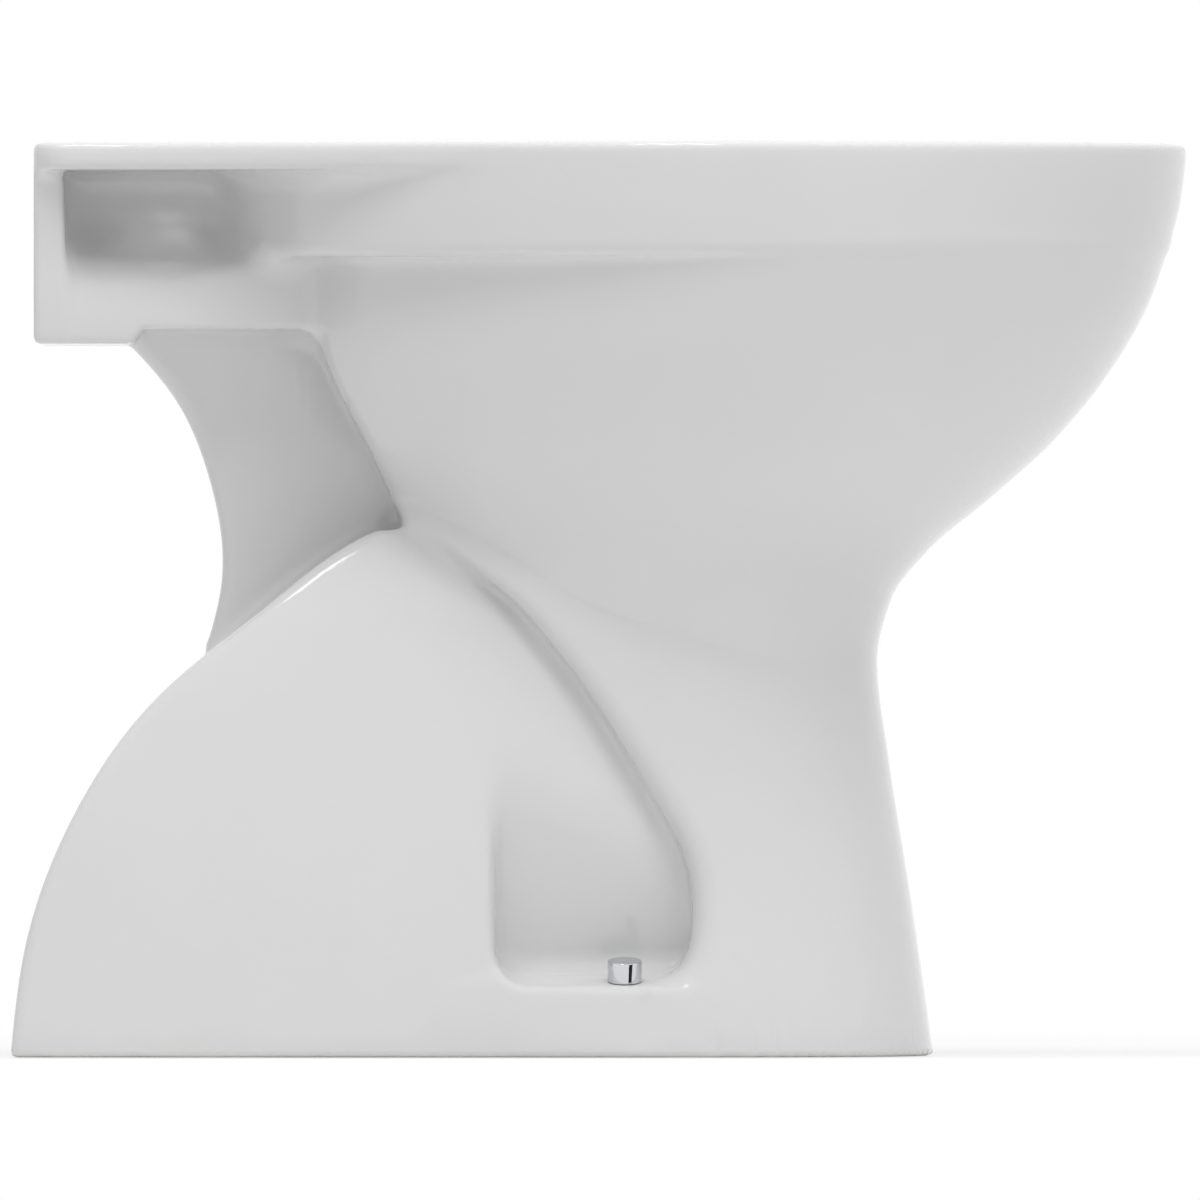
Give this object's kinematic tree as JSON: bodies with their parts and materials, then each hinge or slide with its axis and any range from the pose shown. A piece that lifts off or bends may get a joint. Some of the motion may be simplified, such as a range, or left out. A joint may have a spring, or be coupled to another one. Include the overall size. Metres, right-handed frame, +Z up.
{
  "type": "rimless toilet",
  "caption": "Floor-standing rimless toilet pan with a rear shelf, a hollow domed foot over the trap, and capped floor fixings in side pockets.",
  "frame": {"origin": "on the floor, under the middle of the overall box", "axes": "+X to the front of the bowl, +Y to the user's left when seated, +Z up"},
  "size_m": [0.5154, 0.3598, 0.4],
  "materials": {
    "china": "gloss",
    "seal": "matte",
    "insert": "gloss",
    "bush": "matte",
    "washer": "satin",
    "cap": "polished"
  },
  "bodies": {
    "pan": {"rim": "china", "bowl": "china", "sump": "china", "rising_limb": "china", "falling_limb": "china", "outlet_spigot": "china", "dome": "china", "pedestal": "china", "neck": "china", "deck": "china", "inlet_wall": "china", "left_channel_wall": "china", "right_channel_wall": "china", "channel_floor": "china", "channel_roof": "china", "left_shelf_side": "china", "right_shelf_side": "china", "left_fixing_boss": "china", "right_fixing_boss": "china", "inlet_seal": "seal", "flush_distributor": "insert", "distributor_gasket": "seal", "left_screw_bush": "bush", "left_screw_washer": "washer", "right_screw_bush": "bush", "right_screw_washer": "washer"},
    "left_cap": {"left_screw_cap": "cap"},
    "right_cap": {"right_screw_cap": "cap"}
  },
  "joints": [
    {"name": "left_cap_pull", "type": "slide", "parent": "pan", "child": "left_cap", "axis": [0, 0.2079, 0.9781], "range_m": [0, 0.1]},
    {"name": "right_cap_pull", "type": "slide", "parent": "pan", "child": "right_cap", "axis": [0, -0.2079, 0.9781], "range_m": [0, 0.1]}
  ]
}
